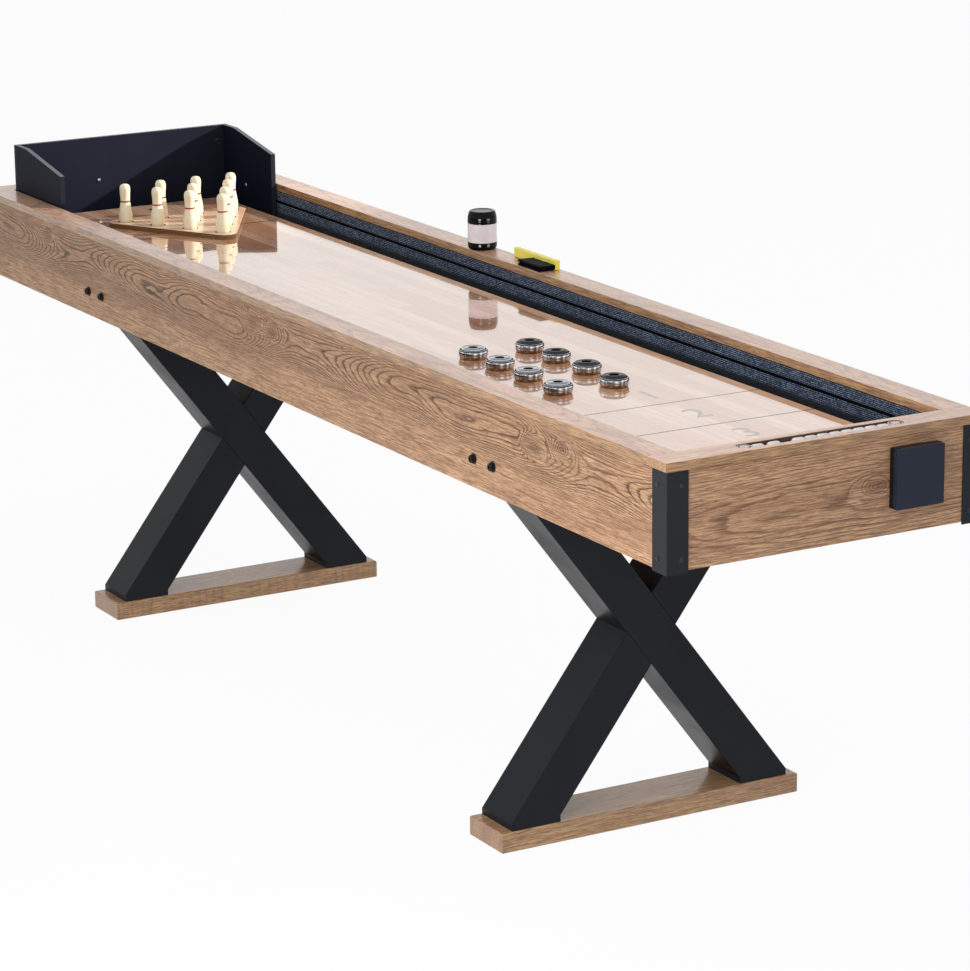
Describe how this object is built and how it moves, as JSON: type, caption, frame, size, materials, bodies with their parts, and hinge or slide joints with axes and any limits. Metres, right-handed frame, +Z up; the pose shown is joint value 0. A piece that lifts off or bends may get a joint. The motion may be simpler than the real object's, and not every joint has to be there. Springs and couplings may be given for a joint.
{
  "type": "shuffleboard table",
  "caption": "Home shuffleboard table with carpeted gutters, X legs, pucks, score beads, a corner-guard cabinet and a removable bowling pin set before a backboard.",
  "frame": {"origin": "on the floor under the middle of the cabinet", "axes": "+X along the table towards the near end, with the score beads; +Y across it towards the side with the wax bottle; +Z up"},
  "size_m": [2.7585, 0.6172, 0.903],
  "materials": {
    "oak_apron": "oak-grain laminate, satin",
    "oak_cap": "oak-grain laminate, satin",
    "gutter_wall": "dark stained board, matte",
    "carpet": "short ribbed pile",
    "playfield": "clear high-gloss coat over plank grain",
    "raw_board": "plain board, matte",
    "black_bracket": "black powder coat, satin",
    "black_hardware": "black oxide, satin",
    "black_leg": "black paint, satin",
    "leg_plate": "black powder coat, satin",
    "backboard": "black laminate, satin",
    "bright_steel": "plain steel",
    "bead": "moulded, glossy",
    "scorer_boss": "moulded",
    "storage_box": "moulded, fine texture",
    "puck_steel": "polished turned steel",
    "puck_cap_silver": "silver cap",
    "puck_cap_black": "black cap",
    "pin": "cream gloss paint",
    "pin_band": "red painted band",
    "rack": "veneered board, oiled",
    "bottle": "black moulded, glossy",
    "bottle_label": "plain pale label",
    "brush_bar": "yellow moulded",
    "bristle": "black bristles",
    "marking": "pale grey print under the clear coat"
  },
  "bodies": {
    "table": {"backboard_back": "backboard", "backboard_left": "backboard", "backboard_right": "backboard", "backboard_screws": "bright_steel", "bracket_screws": "black_hardware", "corner_brackets": "black_bracket", "deck_bearers": "raw_board", "end_apron_far": "oak_apron", "end_apron_near": "oak_apron", "end_gutter_walls": "gutter_wall", "floor_carpets": "carpet", "foot_boards": "oak_apron", "gutter_deck": "raw_board", "leg_bolts": "black_hardware", "leg_head_boards": "black_leg", "leg_lower_arms": "black_leg", "leg_plates": "leg_plate", "leg_through_beams": "black_leg", "leg_upper_arms": "black_leg", "playfield_board": "playfield", "scorer_bosses": "scorer_boss", "scorer_rod": "bright_steel", "scorer_screws": "bright_steel", "side_apron_left": "oak_apron", "side_apron_right": "oak_apron", "side_gutter_walls": "gutter_wall", "storage_box_base": "storage_box", "storage_box_hinge_pin": "bright_steel", "top_cap_far": "oak_cap", "top_cap_left": "oak_cap", "top_cap_near": "oak_cap", "top_cap_right": "oak_cap", "wall_carpets": "carpet"},
    "brush": {"brush_bristles": "bristle", "brush_handle": "brush_bar"},
    "pin_1": {"pin_1": "pin"},
    "pin_10": {"pin_10": "pin"},
    "pin_2": {"pin_2": "pin"},
    "pin_3": {"pin_3": "pin"},
    "pin_4": {"pin_4": "pin"},
    "pin_5": {"pin_5": "pin"},
    "pin_6": {"pin_6": "pin"},
    "pin_7": {"pin_7": "pin"},
    "pin_8": {"pin_8": "pin"},
    "pin_9": {"pin_9": "pin"},
    "rack": {"pin_rack": "rack"},
    "puck_1": {"puck_1": "puck_steel"},
    "puck_2": {"puck_2": "puck_steel"},
    "puck_3": {"puck_3": "puck_steel"},
    "puck_4": {"puck_4": "puck_steel"},
    "puck_5": {"puck_5": "puck_steel"},
    "puck_6": {"puck_6": "puck_steel"},
    "puck_7": {"puck_7": "puck_steel"},
    "puck_8": {"puck_8": "puck_steel"},
    "bead_first": {"score_bead_first": "bead"},
    "bead_group": {"score_bead_group": "bead"},
    "bead_second": {"score_bead_second": "bead"},
    "storage_lid": {"storage_box_lid": "storage_box"},
    "bottle": {"wax_bottle": "bottle"},
    "bottle_cap": {"wax_bottle_cap": "bottle"}
  },
  "joints": [
    {"name": "puck_1_slide", "type": "slide", "parent": "table", "child": "puck_1", "axis": [-1, 0, 0], "range_m": [0, 1.15]},
    {"name": "puck_2_slide", "type": "slide", "parent": "table", "child": "puck_2", "axis": [-1, 0, 0], "range_m": [0, 0.038]},
    {"name": "puck_3_slide", "type": "slide", "parent": "table", "child": "puck_3", "axis": [-1, 0, 0], "range_m": [0, 0.043]},
    {"name": "puck_4_slide", "type": "slide", "parent": "table", "child": "puck_4", "axis": [-1, 0, 0], "range_m": [-0.4, 0.05]},
    {"name": "puck_5_slide", "type": "slide", "parent": "table", "child": "puck_5", "axis": [-1, 0, 0], "range_m": [0, 1.15]},
    {"name": "puck_6_slide", "type": "slide", "parent": "table", "child": "puck_6", "axis": [-1, 0, 0], "range_m": [0, 0.036]},
    {"name": "puck_7_slide", "type": "slide", "parent": "table", "child": "puck_7", "axis": [-1, 0, 0], "range_m": [0, 0.048]},
    {"name": "puck_8_slide", "type": "slide", "parent": "table", "child": "puck_8", "axis": [-1, 0, 0], "range_m": [-0.4, 0.054]},
    {"name": "pin_1_lift", "type": "slide", "parent": "table", "child": "pin_1", "axis": [0, 0, 1], "range_m": [0, 0.12]},
    {"name": "pin_2_lift", "type": "slide", "parent": "table", "child": "pin_2", "axis": [0, 0, 1], "range_m": [0, 0.12]},
    {"name": "pin_3_lift", "type": "slide", "parent": "table", "child": "pin_3", "axis": [0, 0, 1], "range_m": [0, 0.12]},
    {"name": "pin_4_lift", "type": "slide", "parent": "table", "child": "pin_4", "axis": [0, 0, 1], "range_m": [0, 0.12]},
    {"name": "pin_5_lift", "type": "slide", "parent": "table", "child": "pin_5", "axis": [0, 0, 1], "range_m": [0, 0.12]},
    {"name": "pin_6_lift", "type": "slide", "parent": "table", "child": "pin_6", "axis": [0, 0, 1], "range_m": [0, 0.12]},
    {"name": "pin_7_lift", "type": "slide", "parent": "table", "child": "pin_7", "axis": [0, 0, 1], "range_m": [0, 0.12]},
    {"name": "pin_8_lift", "type": "slide", "parent": "table", "child": "pin_8", "axis": [0, 0, 1], "range_m": [0, 0.12]},
    {"name": "pin_9_lift", "type": "slide", "parent": "table", "child": "pin_9", "axis": [0, 0, 1], "range_m": [0, 0.12]},
    {"name": "pin_10_lift", "type": "slide", "parent": "table", "child": "pin_10", "axis": [0, 0, 1], "range_m": [0, 0.12]},
    {"name": "rack_lift", "type": "slide", "parent": "table", "child": "rack", "axis": [0, 0, 1], "range_m": [0, 0.15]},
    {"name": "bottle_lift", "type": "slide", "parent": "table", "child": "bottle", "axis": [0, 0, 1], "range_m": [0, 0.15]},
    {"name": "bottle_cap_lift", "type": "slide", "parent": "bottle", "child": "bottle_cap", "axis": [0, 0, 1], "range_m": [0, 0.04]},
    {"name": "brush_lift", "type": "slide", "parent": "table", "child": "brush", "axis": [0, 0, 1], "range_m": [0, 0.15]},
    {"name": "first_bead_slide", "type": "slide", "parent": "table", "child": "bead_first", "axis": [0, 1, 0], "range_m": [0, 0.003]},
    {"name": "second_bead_slide", "type": "slide", "parent": "table", "child": "bead_second", "axis": [0, 1, 0], "range_m": [-0.004, 0.011]},
    {"name": "bead_group_slide", "type": "slide", "parent": "table", "child": "bead_group", "axis": [0, 1, 0], "range_m": [-0.011, 0]},
    {"name": "storage_lid_hinge", "type": "hinge", "parent": "table", "child": "storage_lid", "pos_m": [1.3761, 0.1655, 0.77], "axis": [0, -1, 0], "range_deg": [0, 95]}
  ]
}
